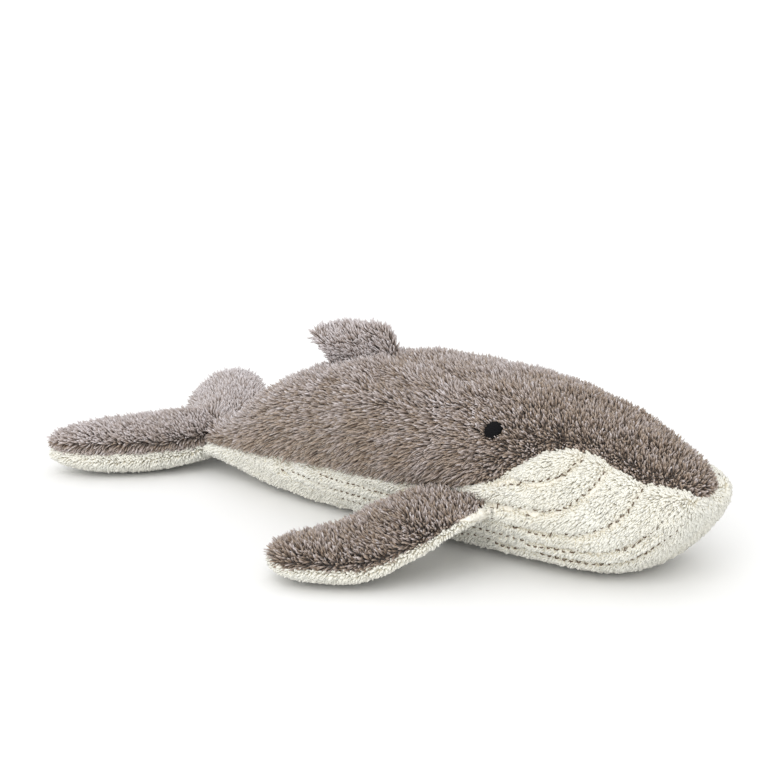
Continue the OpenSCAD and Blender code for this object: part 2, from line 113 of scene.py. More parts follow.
def set_up_camera():
    back = Vector((math.sin(CAMERA_TURN) * math.cos(CAMERA_RISE),
                   -math.cos(CAMERA_TURN) * math.cos(CAMERA_RISE), math.sin(CAMERA_RISE)))
    bpy.ops.object.camera_add(location=LOOK_AT + back * CAMERA_FAR)
    camera = bpy.context.object
    camera.rotation_mode = "QUATERNION"
    camera.rotation_quaternion = (-back).to_track_quat("-Z", "Y")
    camera.data.lens = CAMERA_LENS
    camera.data.sensor_width = 36
    camera.data.shift_x, camera.data.shift_y = CAMERA_SHIFT
    camera.data.clip_start, camera.data.clip_end = 0.05, 30
    bpy.context.scene.camera = camera


def soft_light(name, place, spread, power):
    bpy.ops.object.light_add(type="SUN", location=place)
    light = bpy.context.object
    light.name = name
    light.data.angle = math.radians(spread)
    light.data.energy = power
    light.rotation_mode = "QUATERNION"
    light.rotation_quaternion = (Vector((0, 0, 0.03)) - Vector(place)).to_track_quat("-Z", "Y")


def studio():
    """A pale floor, an even pale surround and two very soft lights."""
    bpy.ops.mesh.primitive_plane_add(size=60, location=(0, 0, 0))
    floor = bpy.context.object
    floor.name = "floor"
    material = bpy.data.materials.new("pale_floor")
    material.use_nodes = True
    shader = material.node_tree.nodes["Principled BSDF"]
    shader.inputs["Base Color"].default_value = (0.93, 0.93, 0.925, 1)
    shader.inputs["Roughness"].default_value = 0.9
    shader.inputs["Specular IOR Level"].default_value = 0.1
    floor.data.materials.append(material)
    floor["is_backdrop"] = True
    world = bpy.data.worlds.new("studio")
    bpy.context.scene.world = world
    world.use_nodes = True
    world.node_tree.nodes["Background"].inputs["Color"].default_value = (1, 1, 1, 1)
    world.node_tree.nodes["Background"].inputs["Strength"].default_value = 0.9
    soft_light("key_light", (0.55, -1.5, 1.2), 55, 1.25)
    soft_light("top_light", (-0.5, 0.3, 1.8), 70, 0.25)
    bpy.context.scene.view_settings.view_transform = "Standard"


# ---- handling meshes ----

def only(*objects):
    bpy.ops.object.select_all(action="DESELECT")
    for o in objects:
        o.select_set(True)
    bpy.context.view_layer.objects.active = objects[0]


def finished_with(obj, kind, **settings):
    """Adds a modifier with these settings and applies it."""
    only(obj)
    modifier = obj.modifiers.new(kind.lower(), kind)
    for name, value in settings.items():
        setattr(modifier, name, value)
    bpy.ops.object.modifier_apply(modifier=modifier.name)


def spots(obj):
    co = np.empty(len(obj.data.vertices) * 3, np.float32)
    obj.data.vertices.foreach_get("co", co)
    return co.reshape(-1, 3).astype(float)


def put(obj, co):
    obj.data.vertices.foreach_set("co", co.astype(np.float32).ravel())
    obj.data.update()


def facing(obj):
    out = np.empty(len(obj.data.vertices) * 3, np.float32)
    obj.data.vertex_normals.foreach_get("vector", out)
    return out.reshape(-1, 3).astype(float)


def write(obj, name, values):
    """Stores a number or a direction for each point of a mesh."""
    values = np.asarray(values, np.float32)
    kind, field = ("FLOAT_VECTOR", "vector") if values.ndim == 2 else ("FLOAT", "value")
    attribute = obj.data.attributes.get(name) or obj.data.attributes.new(name, kind, "POINT")
    attribute.data.foreach_set(field, values.ravel())


def copy_of(obj, name):
    twin = bpy.data.objects.new(name, obj.data.copy())
    bpy.context.scene.collection.objects.link(twin)
    return twin


def joined_copy(nodes, name):
    """One new mesh with the shapes of several CAD nodes, their loose triangles merged."""
    copies = [copy_of(NODES[n], name) for n in nodes]
    only(*copies)
    if len(copies) > 1:
        bpy.ops.object.join()
    whole = copies[0]
    whole.name = name
    whole.data.materials.clear()
    bpy.ops.object.mode_set(mode="EDIT")
    bpy.ops.mesh.select_all(action="SELECT")
    bpy.ops.mesh.remove_doubles(threshold=1e-6)
    bpy.ops.object.mode_set(mode="OBJECT")
    return whole


def tree_of(obj):
    return BVHTree.FromPolygons([v.co for v in obj.data.vertices],
                                [p.vertices for p in obj.data.polygons])


def joined_tree(nodes):
    whole = joined_copy(nodes, "probe")
    tree = tree_of(whole)
    bpy.data.objects.remove(whole)
    return tree


def gap_to(tree, co):
    """How far each point is from a surface."""
    return np.array([tree.find_nearest(Vector(p))[3] for p in co])


DEEPEST = 15 * MM


def depth_inside(tree, co):
    """How deep each point is inside a closed shape, below 0 outside it."""
    found = []
    for p in co:
        p = Vector(p)
        near, normal, _, far = tree.find_nearest(p)
        hidden = (p - near).dot(normal) < 0 and far < DEEPEST
        found.append(far if hidden else -far)
    return np.array(found)


def ease(t):
    """A smooth step from 0 to 1."""
    t = np.clip(t, 0, 1)
    return t * t * (3 - 2 * t)


def bell(distance, width):
    """1 at no distance, and fading to nothing over about two widths."""
    return np.exp(-(distance / width) ** 2)


def unit(v):
    return v / np.maximum(np.linalg.norm(v, axis=-1, keepdims=True), 1e-9)


WAVES = 7


def ripple(co, size, seed, height):
    """A smooth random field made of a few plane waves."""
    draw = np.random.default_rng(seed)
    total = np.zeros(len(co))
    for _ in range(WAVES):
        wave = draw.normal(size=3) / size * 2.2
        total += np.sin(co @ wave + draw.uniform(0, 2 * math.pi))
    return height * total / WAVES ** 0.5 / 1.2


def centre_lines(node):
    """The centre line of each thread in a CAD node, from its end nearest the snout."""
    whole = joined_copy([node], "probe")
    shape = bmesh.new()
    shape.from_mesh(whole.data)
    left, lines = set(shape.verts), []
    while left:
        start = max(left, key=lambda v: (v.co.x, v.co.z))
        order, edge = [start], [start]
        seen = {start}
        while edge:
            ahead = []
            for v in edge:
                for e in v.link_edges:
                    w = e.other_vert(v)
                    if w not in seen:
                        seen.add(w)
                        ahead.append(w)
            order += ahead
            edge = ahead
        left -= seen
        far = {start: 0.0}
        for v in order:
            for e in v.link_edges:
                w = e.other_vert(v)
                step = far[v] + e.calc_length()
                if w not in far or far[w] > step:
                    far[w] = step
        ranked = sorted(seen, key=lambda v: far[v])
        rings = [ranked[i:i + 4] for i in range(0, len(ranked) - 3, 4)]
        lines.append(np.array([np.mean([v.co for v in ring], 0) for ring in rings]))
    shape.free()
    bpy.data.objects.remove(whole)
    return lines


def evenly(line, step):
    """Points every step along a line."""
    legs = np.linalg.norm(np.diff(line, axis=0), axis=1)
    run = np.concatenate([[0], np.cumsum(legs)])
    places = np.arange(0, run[-1], step)
    return np.stack([np.interp(places, run, line[:, k]) for k in range(3)], 1)


# ---- stuffed forms, from which the cloth and the pile are made ----

NO_FAR_SIDE = 20 * MM


def stuffed(name, nodes, voxel, swell=0.0, cap=0.0):
    """The whole of a padded part: remeshed, a little smaller, swollen by its stuffing."""
    form = joined_copy(nodes, name)
    finished_with(form, "REMESH", mode="VOXEL", voxel_size=voxel, use_smooth_shade=True)
    keep_largest(form)
    finished_with(form, "SMOOTH", factor=0.5, iterations=8)
    shell = joined_tree(nodes)
    filled_out(form, shell)
    if swell:
        start = spots(form)
        finished_with(form, "DISPLACE", strength=-swell, mid_level=0)
        inflate(form)
        moved = spots(form) - start
        far = np.linalg.norm(moved, axis=1, keepdims=True)
        put(form, start + moved * np.minimum(1, cap / np.maximum(far, 1e-9)))
        finished_with(form, "SMOOTH", factor=0.5, iterations=2)
        filled_out(form, shell)
    finished_with(form, "SMOOTH", factor=0.3, iterations=1)
    return form


def filled_out(form, shell):
    """Brings what the smoothing drew in back out to the surface of the pattern."""
    co, out = spots(form), facing(form)
    for k, (p, n) in enumerate(zip(co, out)):
        near = shell.find_nearest(Vector(p))[0]
        co[k] += n * max(0.0, float(np.dot(np.array(near) - p, n)))
    put(form, co)


def keep_largest(form):
    """Drops what the remesh leaves inside: only the piece with the widest box stays."""
    only(form)
    bpy.ops.object.mode_set(mode="EDIT")
    bpy.ops.mesh.select_all(action="SELECT")
    bpy.ops.mesh.separate(type="LOOSE")
    bpy.ops.object.mode_set(mode="OBJECT")
    parts = list(bpy.context.selected_objects)
    widest = max(parts, key=lambda o: (o.dimensions.length, len(o.data.vertices)))
    if widest is not form:
        form.data, widest.data = widest.data, form.data
    for o in parts:
        if o is not form:
            bpy.data.objects.remove(o)


def inflate(form):
    """Swells a closed form as its stuffing does, with a short cloth simulation."""
    only(form)
    modifier = form.modifiers.new("stuffing", "CLOTH")
    cloth = modifier.settings
    cloth.quality = 4
    cloth.mass = 0.3
    cloth.tension_stiffness = cloth.compression_stiffness = 12
    cloth.shear_stiffness = 4
    cloth.bending_stiffness = 1.2
    cloth.use_pressure = True
    cloth.uniform_pressure_force = 4
    cloth.effector_weights.gravity = 0
    scene = bpy.context.scene
    for number in range(1, 21):
        scene.frame_set(number)
    bpy.ops.object.modifier_apply(modifier=modifier.name)
    scene.frame_set(1)


def shared_out(form, field, times):
    """A field over the points of a form, averaged with their neighbours."""
    edges = np.empty(len(form.data.edges) * 2, np.int64)
    form.data.edges.foreach_get("vertices", edges)
    a, b = edges.reshape(-1, 2).T
    count = np.bincount(np.concatenate([a, b]), minlength=len(field)) + 1.0
    for _ in range(times):
        total = field.copy()
        np.add.at(total, a, field[b])
        np.add.at(total, b, field[a])
        field = total / count[:, None]
    return field


def thinned(form, depth):
    """Draws the surface in by the depth of the pile, and by less where it is thin."""
    tree, co, out = tree_of(form), spots(form), facing(form)
    room = []
    for p, n in zip(co, out):
        hit = tree.ray_cast(Vector(p - n * 0.5 * MM), Vector(-n))
        room.append(hit[3] if hit[3] is not None else NO_FAR_SIDE)
    inward = np.minimum(depth, np.array(room) * 0.3)
    put(form, co - shared_out(form, out * inward[:, None], 5))
    finished_with(form, "SMOOTH", factor=0.4, iterations=2)


# ---- the looks of the cloths ----

def linear(*colour):
    """A colour given as 0 to 255 on a screen, as Blender wants it."""
    return tuple((c / 255 / 12.92 if c <= 10.3 else ((c / 255 + 0.055) / 1.055) ** 2.4)
                 for c in colour)


def blank(name, rough, sheen=0.0):
    """A new material, with its tree and its shader."""
    material = bpy.data.materials.new(name)
    material.use_nodes = True
    shader = material.node_tree.nodes["Principled BSDF"]
    shader.inputs["Roughness"].default_value = rough
    shader.inputs["Specular IOR Level"].default_value = 0.15
    shader.inputs["Sheen Weight"].default_value = sheen
    shader.inputs["Sheen Roughness"].default_value = 0.6
    return material, material.node_tree, shader


def ramp_of(tree, stops, factor):
    """The colour that a factor has on a ramp of (place, colour) stops."""
    ramp = tree.nodes.new("ShaderNodeValToRGB")
    points = ramp.color_ramp.elements
    while len(points) < len(stops):
        points.new(0.5)
    for point, (place, colour) in zip(points, stops):
        point.position = place
        point.color = (*linear(*colour), 1)
    tree.links.new(factor, ramp.inputs["Fac"])
    return ramp.outputs["Color"]


def pile_material(name, tones, painted_root_shade, sheen):
    """Tufts: a colour for each tone, darker towards the root as painted shade deep in the pile.
    """
    material, tree, shader = blank(name, 0.85, sheen)
    tone = tree.nodes.new("ShaderNodeAttribute")
    tone.attribute_name = "tone"
    along = tree.nodes.new("ShaderNodeAttribute")
    along.attribute_name = "along"
    colour = ramp_of(tree, tones, tone.outputs["Fac"])
    # Painted shade: the colour darkens towards the root of each tuft
    depth = ramp_of(tree, painted_root_shade, along.outputs["Fac"])
    mix = tree.nodes.new("ShaderNodeMix")
    mix.data_type = "RGBA"
    mix.blend_type = "MULTIPLY"
    mix.inputs["Factor"].default_value = 1
    tree.links.new(colour, mix.inputs["A"])
    tree.links.new(depth, mix.inputs["B"])
    tree.links.new(mix.outputs["Result"], shader.inputs["Base Color"])
    return material


def backing_material(name, dark, light, grain=900):
    """The knitted backing under the pile."""
    material, tree, shader = blank(name, 0.95)
    place = tree.nodes.new("ShaderNodeTexCoord")
    noise = tree.nodes.new("ShaderNodeTexNoise")
    noise.inputs["Scale"].default_value = grain
    noise.inputs["Detail"].default_value = 2
    tree.links.new(place.outputs["Object"], noise.inputs["Vector"])
    colour = ramp_of(tree, [(0.35, dark), (0.65, light)], noise.outputs["Fac"])
    tree.links.new(colour, shader.inputs["Base Color"])
    return material


GREY_TONES = [(0.0, (88, 74, 64)), (0.2, (146, 128, 112)), (0.36, (181, 163, 146)),
              (0.54, (179, 166, 159)), (0.75, (201, 190, 186)), (1.0, (222, 215, 216))]
CREAM_TONES = [(0.0, (226, 219, 200)), (0.35, (239, 236, 224)), (1.0, (245, 245, 238))]


# ---- the pile ----

# What a form says about the pile at each of its points
FIELDS = ("side", "band", "nap", "stand", "reach", "shade", "grow", "curl")
SWAY_SIZE = 22 * MM


class Wiring:
    """Short names for adding and linking geometry nodes."""

    def __init__(self, name):
        self.tree = bpy.data.node_groups.new(name, "GeometryNodeTree")
        self.tree.interface.new_socket("Geometry", in_out="INPUT",
                                       socket_type="NodeSocketGeometry")
        self.tree.interface.new_socket("Geometry", in_out="OUTPUT",
                                       socket_type="NodeSocketGeometry")

    def add(self, kind, inputs=None, **settings):
        node = self.tree.nodes.new(kind)
        for name, value in settings.items():
            setattr(node, name, value)
        for key, value in (inputs or {}).items():
            socket = node.inputs[key]
            if isinstance(value, bpy.types.NodeSocket):
                self.tree.links.new(value, socket)
            else:
                socket.default_value = value
        return node

    def number(self, name):
        return self.add("GeometryNodeInputNamedAttribute", {"Name": name},
                        data_type="FLOAT").outputs["Attribute"]

    def vector(self, name):
        return self.add("GeometryNodeInputNamedAttribute", {"Name": name},
                        data_type="FLOAT_VECTOR").outputs["Attribute"]

    def maths(self, operation, a, b):
        return self.add("ShaderNodeMath", {0: a, 1: b}, operation=operation).outputs[0]

    def arrows(self, operation, a, b):
        return self.add("ShaderNodeVectorMath", {0: a, 1: b}, operation=operation).outputs[0]

    def scaled(self, vector, by):
        return self.add("ShaderNodeVectorMath", {0: vector, "Scale": by},
                        operation="SCALE").outputs[0]

    def random(self, low, high, seed):
        return self.add("FunctionNodeRandomValue", {2: low, 3: high, "Seed": seed},
                        data_type="FLOAT").outputs[1]

    def noise(self, size, detail=1.0):
        """A cloudy field over the place, its lumps about this size."""
        place = self.add("GeometryNodeInputPosition").outputs[0]
        return self.add("ShaderNodeTexNoise", {"Vector": place, "Scale": 1 / size,
                                               "Detail": detail, "Roughness": 0.5})


# Curl to the front, twist to the side, and how high up a tuft is fullest
TUFTS = ((0.16, 0.0, 0.84), (0.36, 0.14, 0.76), (0.04, -0.18, 0.86), (0.0, 0.0, 0.0))
FULLNESS = 0.60


def tuft_shapes():
    """Tufts: three-sided, fullest near the top and curled over, and one plain short spike."""
    kinds = bpy.data.collections.new("tufts")
    for number, (curl, twist, waist) in enumerate(TUFTS):
        bpy.ops.mesh.primitive_cone_add(vertices=3, radius1=0.5, radius2=0, depth=1,
                                        location=(0, 0, 0.5))
        tuft = bpy.context.object
        tuft.name = f"tuft_{number}"
        bpy.ops.object.transform_apply(location=True)
        if waist:
            bpy.ops.object.mode_set(mode="EDIT")
            bpy.ops.mesh.select_all(action="SELECT")
            bpy.ops.mesh.bisect(plane_co=(0, 0, waist), plane_no=(0, 0, 1))
            bpy.ops.object.mode_set(mode="OBJECT")
        co = spots(tuft)
        z = co[:, 2].copy()
        middle = (z > 0.01) & (z < 0.99)
        co[middle, :2] *= FULLNESS / (1 - waist)
        co[:, 0] += curl * (z ** 2 - 0.5 * z)
        co[:, 1] += twist * z ** 2
        put(tuft, co)
        write(tuft, "along", z)
        bpy.ops.object.shade_smooth()
        chart = tuft.data.uv_layers.new(name="OFBake")
        for loop in tuft.data.loops:
            p = tuft.data.vertices[loop.vertex_index].co
            chart.data[loop.index].uv = (0.5 + 0.5 * math.copysign(1, p.y + 0.001),
                                         max(0.0, min(1.0, p.z)))
        for holder in tuft.users_collection:
            holder.objects.unlink(tuft)
        kinds.objects.link(tuft)
    return kinds


def dressed(piece, material):
    """Takes off what only the growing of the pile needs, and gives the material."""
    for extra in FIELDS:
        if extra in piece.data.attributes:
            piece.data.attributes.remove(piece.data.attributes[extra])
    piece.data.materials.clear()
    piece.data.materials.append(material)
    return piece


def grow_tufts(form, name, kinds, material, grey, look, low, high, seed):
    """A piece of pile on the part of a form between low and high along it."""
    piece = copy_of(form, name)
    w = Wiring(name)
    start = w.add("NodeGroupInput").outputs[0]
    spread = w.add("GeometryNodeDistributePointsOnFaces",
                   {"Mesh": start, "Distance Min": look["gap"],
                    "Density Max": look["crowd"] / look["gap"] ** 2,
                    "Density Factor": w.number("grow"), "Seed": seed},
                   distribute_method="POISSON")
    side, place = w.number("side"), w.number("band")
    keep = w.add("FunctionNodeCompare", {0: side, 1: 0.0}, data_type="FLOAT",
                 operation="GREATER_THAN" if grey else "LESS_EQUAL").outputs[0]
    over = w.add("FunctionNodeCompare", {0: place, 1: low}, data_type="FLOAT",
                 operation="GREATER_EQUAL").outputs[0]
    under = w.add("FunctionNodeCompare", {0: place, 1: high}, data_type="FLOAT",
                  operation="LESS_THAN").outputs[0]
    both = w.add("FunctionNodeBooleanMath", {0: keep, 1: over}, operation="AND").outputs[0]
    chosen = w.add("FunctionNodeBooleanMath", {0: both, 1: under}, operation="AND").outputs[0]

    # Which way each tuft leans: up from the cloth, along the nap, with its neighbours
    clump = w.arrows("SUBTRACT", w.noise(look["clump"]).outputs["Color"], (0.5, 0.5, 0.5))
    sway = w.arrows("SUBTRACT", w.noise(SWAY_SIZE).outputs["Color"], (0.5, 0.5, 0.5))
    loose = w.add("FunctionNodeRandomValue", {0: (-1, -1, -1), 1: (1, 1, 1), "Seed": seed + 1},
                  data_type="FLOAT_VECTOR").outputs[0]
    lean = w.arrows("ADD", w.scaled(spread.outputs["Normal"], w.number("stand")),
                    w.vector("nap"))
    tight = w.maths("MULTIPLY", w.maths("ADD", 0.6, w.number("curl")), look["clumping"])
    lean = w.arrows("ADD", lean, w.scaled(clump, tight))
    lean = w.arrows("ADD", lean, w.scaled(sway, look["sway"]))
    lean = w.arrows("ADD", lean, w.scaled(loose, look["loose"]))
    down = w.arrows("ADD", w.vector("nap"), w.scaled(loose, 0.6))
    turn = w.add("FunctionNodeAxesToRotation", {0: lean, 1: down},
                 primary_axis="Z", secondary_axis="X").outputs[0]

    # Curly pile stands in little knots with pits between them
    long = w.maths("MULTIPLY", w.number("reach"), w.random(0.78, 1.16, seed + 2))
    knots = w.maths("SUBTRACT", w.noise(look["knot"]).outputs[0], 0.52)
    knots = w.maths("MULTIPLY", knots, w.maths("MULTIPLY", w.number("curl"), look["pits"]))
    long = w.maths("MULTIPLY", long, w.add("ShaderNodeClamp", {
        0: w.maths("ADD", 1.0, knots), 1: 0.4, 2: 1.2}).outputs[0])
    wide = w.maths("MULTIPLY", look["width"], w.random(0.75, 1.3, seed + 3))
    size = w.add("ShaderNodeCombineXYZ", {0: wide, 1: wide, 2: long}).outputs[0]

    shapes = w.add("GeometryNodeCollectionInfo", {"Separate Children": True,
                                                  "Reset Children": True})
    shapes.inputs["Collection"].default_value = kinds
    pick = w.add("FunctionNodeRandomValue", {4: 0, 5: len(TUFTS) - 1, "Seed": seed + 4},
                 data_type="INT")
    planted = w.add("GeometryNodeInstanceOnPoints",
                    {"Points": spread.outputs["Points"], "Selection": chosen,
                     "Instance": shapes.outputs[0], "Pick Instance": True,
                     "Instance Index": pick.outputs[2], "Rotation": turn, "Scale": size})
    patch = w.noise(look["patch"], 3).outputs[0]
    tone = w.maths("ADD", w.number("shade"), w.random(-look["fleck"], look["fleck"], seed + 5))
    tone = w.maths("ADD", tone, w.maths("MULTIPLY", w.maths("SUBTRACT", patch, 0.5), 0.7))
    # Tufts in the pits get a darker tone: painted shade in the hollows of the pile
    tone = w.maths("ADD", tone, w.maths("MULTIPLY", knots, look["pit_painted_shade"]))
    tone = w.add("ShaderNodeClamp", {0: tone, 1: 0.01, 2: 0.98}).outputs[0]
    toned = w.add("GeometryNodeStoreNamedAttribute",
                  {"Geometry": planted.outputs[0], "Name": "tone", "Value": tone},
                  data_type="FLOAT", domain="INSTANCE").outputs[0]
    real = w.add("GeometryNodeRealizeInstances", {"Geometry": toned}).outputs[0]
    parts = w.add("ShaderNodeSeparateXYZ", {0: w.vector("OFBake")})
    across = w.maths("ADD", w.number("tone"), w.maths("MULTIPLY", parts.outputs[0], 0.01))
    chart = w.add("ShaderNodeCombineXYZ", {0: across, 1: parts.outputs[1]}).outputs[0]
    mapped = w.add("GeometryNodeStoreNamedAttribute",
                   {"Geometry": real, "Name": "OFBake", "Value": chart},
                   data_type="FLOAT2", domain="CORNER").outputs[0]
    w.add("NodeGroupOutput", {0: mapped})

    only(piece)
    modifier = piece.modifiers.new("pile", "NODES")
    modifier.node_group = w.tree
    bpy.ops.object.modifier_apply(modifier=modifier.name)
    return dressed(piece, material)


CLOTH_THICK = 1.4 * MM


def backing(form, name, grey, material):
    """The cloth under the pile: the form's faces on one side of its seam, made solid."""
    piece = copy_of(form, name)
    side = np.empty(len(piece.data.vertices), np.float32)
    piece.data.attributes["side"].data.foreach_get("value", side)
    only(piece)
    bpy.ops.object.mode_set(mode="EDIT")
    bpy.ops.mesh.select_all(action="DESELECT")
    bpy.ops.object.mode_set(mode="OBJECT")
    for face in piece.data.polygons:
        total = sum(side[v] for v in face.vertices)
        face.select = bool(total > 0) != grey
    bpy.ops.object.mode_set(mode="EDIT")
    bpy.ops.mesh.delete(type="FACE")
    bpy.ops.object.mode_set(mode="OBJECT")
    dressed(piece, material)
    finished_with(piece, "SOLIDIFY", thickness=CLOTH_THICK, offset=-1)
    bpy.ops.object.shade_smooth()
    return piece


def wadding(form, name, depth, material):
    """The stuffing: the form drawn in by this depth."""
    piece = dressed(copy_of(form, name), material)
    thinned(piece, depth)
    return piece


# ---- threads ----

def thread_material(name, dark, light):
    """Spun thread: fine plies across its length."""
    material, tree, shader = blank(name, 0.8)
    place = tree.nodes.new("ShaderNodeTexCoord")
    wave = tree.nodes.new("ShaderNodeTexWave")
    wave.wave_type = "BANDS"
    wave.bands_direction = "DIAGONAL"
    wave.inputs["Scale"].default_value = 900
    wave.inputs["Distortion"].default_value = 1.5
    tree.links.new(place.outputs["Object"], wave.inputs["Vector"])
    colour = ramp_of(tree, [(0.2, dark), (0.8, light)], wave.outputs["Fac"])
    tree.links.new(colour, shader.inputs["Base Color"])
    return material


def cord_mesh(name, lines, thick, material, sides=2):
    """Round threads along these lines, with closed ends, as one mesh."""
    curve = bpy.data.curves.new(name, "CURVE")
    curve.dimensions = "3D"
    curve.bevel_depth = thick / 2
    curve.bevel_resolution = sides
    curve.use_fill_caps = True
    for line in lines:
        spline = curve.splines.new("POLY")
        spline.points.add(len(line) - 1)
        for point, p in zip(spline.points, line):
            point.co = (*p, 1)
    obj = bpy.data.objects.new(name, curve)
    bpy.context.scene.collection.objects.link(obj)
    only(obj)
    bpy.ops.object.convert(target="MESH")
    obj = bpy.context.object
    bpy.ops.object.mode_set(mode="EDIT")
    bpy.ops.mesh.select_all(action="SELECT")
    bpy.ops.mesh.remove_doubles(threshold=1e-6)
    bpy.ops.mesh.normals_make_consistent(inside=False)
    bpy.ops.object.mode_set(mode="OBJECT")
    bpy.ops.object.shade_smooth()
    obj.data.materials.clear()
    obj.data.materials.append(material)
    return obj


LINE_STEP, FINE_STEP = 3 * MM, 0.5 * MM
SEAM_THICK = 0.9 * MM
STITCH, STITCH_GAP, STITCH_THICK = 3.0 * MM, 2.0 * MM, 0.8 * MM


def laid_on(tree, line, lift):
    """A line brought down to a cloth and raised by lift from it."""
    placed = []
    for p in line:
        near, normal, _, _ = tree.find_nearest(Vector(p))
        placed.append(np.array(near + normal * lift))
    return np.array(placed)


def eased_line(line):
    """A line with its kinks drawn out, a little short at its ends."""
    line = evenly(line, LINE_STEP)
    for _ in range(6):
        line[1:-1] = (line[:-2] + 2 * line[1:-1] + line[2:]) / 4
    return line[1:-2]


def seam(name, tree, nodes):
    """The sewing thread of a seam, laid on the cloth where the CAD threads run."""
    lines = [laid_on(tree, evenly(line, LINE_STEP), 0.2 * MM)
             for node in nodes for line in centre_lines(node)]
    return cord_mesh(name, lines, SEAM_THICK, seam_thread)


def stitches(tree, line):
    """Running stitches along a line: each dives into the cloth at its ends."""
    lines = []
    fine = evenly(line, FINE_STEP)
    per = int((STITCH + STITCH_GAP) / FINE_STEP)
    used = int(STITCH / FINE_STEP) + 1
    for k in range(0, len(fine) - used, per):
        part = fine[k:k + used]
        hump = np.sin(np.linspace(0, math.pi, len(part)))
        laid = []
        for p, h in zip(part, hump):
            near, normal, _, _ = tree.find_nearest(Vector(p))
            laid.append(np.array(near + normal * (1.9 * h - 0.1) * MM))
        lines.append(laid[::2] if len(laid) % 2 else laid[::2] + [laid[-1]])
    return lines


# ---- the parts ----

def napped(co, out, direction, lean):
    """The direction of the nap along the surface, with how far it leans."""
    flat = direction - out * np.sum(direction * out, axis=1, keepdims=True)
    return unit(flat) * lean[:, None]


def described(form, side, band, nap, stand, height, shade, grow, curl):
    """Writes what the pile needs to know at each point of a form."""
    lean = np.linalg.norm(nap, axis=1)
    reach = height * np.minimum(1.6, np.sqrt(stand ** 2 + lean ** 2) / stand)
    for name, values in zip(FIELDS, (side, band, nap, stand, reach, shade, grow, curl)):
        write(form, name, values)


def colour_side(co, grey_nodes, cream_nodes):
    """Above 0 on the grey cloth: about the distance from the seam between the two."""
    return gap_to(joined_tree(cream_nodes), co) - gap_to(joined_tree(grey_nodes), co)


studio()
set_up_camera()

# Each pile's second ramp darkens its tufts towards their roots: painted shade deep in the pile
grey_pile = pile_material("grey_pile", GREY_TONES,
                          [(0.0, (130, 110, 92)), (0.4, (206, 194, 182)), (0.8, (255, 255, 255))],
                          0.25)
cream_pile = pile_material("cream_pile", CREAM_TONES,
                           [(0.0, (244, 238, 224)), (0.5, (255, 255, 255))], 0.2)
grey_backing = backing_material("grey_backing", (78, 66, 58), (104, 90, 80))
cream_backing = backing_material("cream_backing", (243, 238, 224), (252, 249, 240))
fibre = backing_material("white_fibre", (225, 224, 218), (246, 245, 241), 400)
seam_thread = thread_material("grey_thread", (92, 80, 70), (128, 114, 102))
brown_thread = thread_material("brown_thread", (88, 72, 58), (128, 110, 92))
black_thread = thread_material("black_thread", (6, 6, 7), (22, 21, 24))
tufts = tuft_shapes()

GREY_LOOK = {"gap": 0.80 * MM, "crowd": 1.7, "clump": 2.2 * MM, "clumping": 1.1,
             "knot": 1.35 * MM, "pits": 4.0, "pit_painted_shade": 0.7, "patch": 22 * MM,
             "sway": 1.1, "loose": 0.28, "width": 1.6 * MM, "fleck": 0.12}
CREAM_LOOK = {"gap": 0.90 * MM, "crowd": 1.7, "clump": 2.6 * MM, "clumping": 0.15,
              "knot": 2.4 * MM, "pits": 0.2, "pit_painted_shade": 0.1, "patch": 30 * MM,
              "sway": 0.4, "loose": 0.12, "width": 2.4 * MM, "fleck": 0.05}


def crease(co, line, wide):
    """How deep in a crease along this line each point is, from 0 to 1."""
    line = evenly(np.array(line), 2 * MM)
    near = np.full(len(co), 1.0)
    for p in line:
        near = np.minimum(near, np.linalg.norm(co - p, axis=1))
    return bell(near, wide)


# Where the longer pile of the flanks gives way to the curly pile of the head
HEAD_X, HEAD_RUN = 85 * MM, 60 * MM
EYE_REACH = 5 * MM
# Across a seam, the depth of the pile changes over this width
SEAM_EASE = 8 * MM

# Where the stuffing has settled and the cloth folds in: line, width, depth
CREASES = (
    (((0.034, -0.068, 0.090), (0.024, -0.074, 0.068), (0.036, -0.075, 0.044)), 11 * MM, 8 * MM),
    (((0.040, 0.068, 0.086), (0.032, 0.074, 0.066), (0.038, 0.075, 0.048)), 11 * MM, 7 * MM),
    (((0.014, -0.010, 0.108), (0.046, -0.016, 0.112), (0.082, -0.028, 0.107)), 7 * MM, 7 * MM),
    (((0.018, -0.034, 0.100), (0.052, -0.046, 0.100)), 8 * MM, 6 * MM),
    (((-0.020, -0.040, 0.092), (-0.034, -0.055, 0.070)), 10 * MM, 5 * MM),
    (((-0.082, -0.044, 0.072), (-0.092, -0.050, 0.050)), 9 * MM, 6 * MM),
    (((0.168, -0.042, 0.086), (0.162, -0.030, 0.094)), 4 * MM, 3.5 * MM),
    (((0.168, 0.042, 0.086), (0.162, 0.030, 0.094)), 4 * MM, 3.5 * MM),
)


BACK_NODES = ["back_panel_right", "back_panel_left", "tail_back_panel_right",
              "tail_back_panel_left"]
BELLY_NODES = ["belly_panel", "tail_belly_panel"]
BODY_FILLINGS = ["body_filling", "tail_filling"]

TAIL_RUN_ON, TAIL_END = 15 * MM, 14 * MM
LIPS_PROUD, LIPS_LENGTH, LIPS_Z, LIPS_HEIGHT = 10 * MM, 45 * MM, 58 * MM, 26 * MM
LOW_DOWN = 8 * MM


def body_blank():
    """The stuffed body. Its tail stock runs on into the flukes, and its lips stand proud."""
    form = stuffed("body", BACK_NODES + BELLY_NODES + BODY_FILLINGS, 4.5 * MM, 1.5 * MM, 3 * MM)
    co = spots(form)
    co[:, 0] -= TAIL_RUN_ON * ease((TAIL_X + TAIL_END - co[:, 0]) / TAIL_END)
    lips = ease((co[:, 0] - SNOUT_X + LIPS_LENGTH) / LIPS_LENGTH)
    co[:, 0] += LIPS_PROUD * lips * bell(co[:, 2] - LIPS_Z, LIPS_HEIGHT)
    put(form, co)
    finished_with(form, "SUBSURF", levels=1, render_levels=1)
    return form


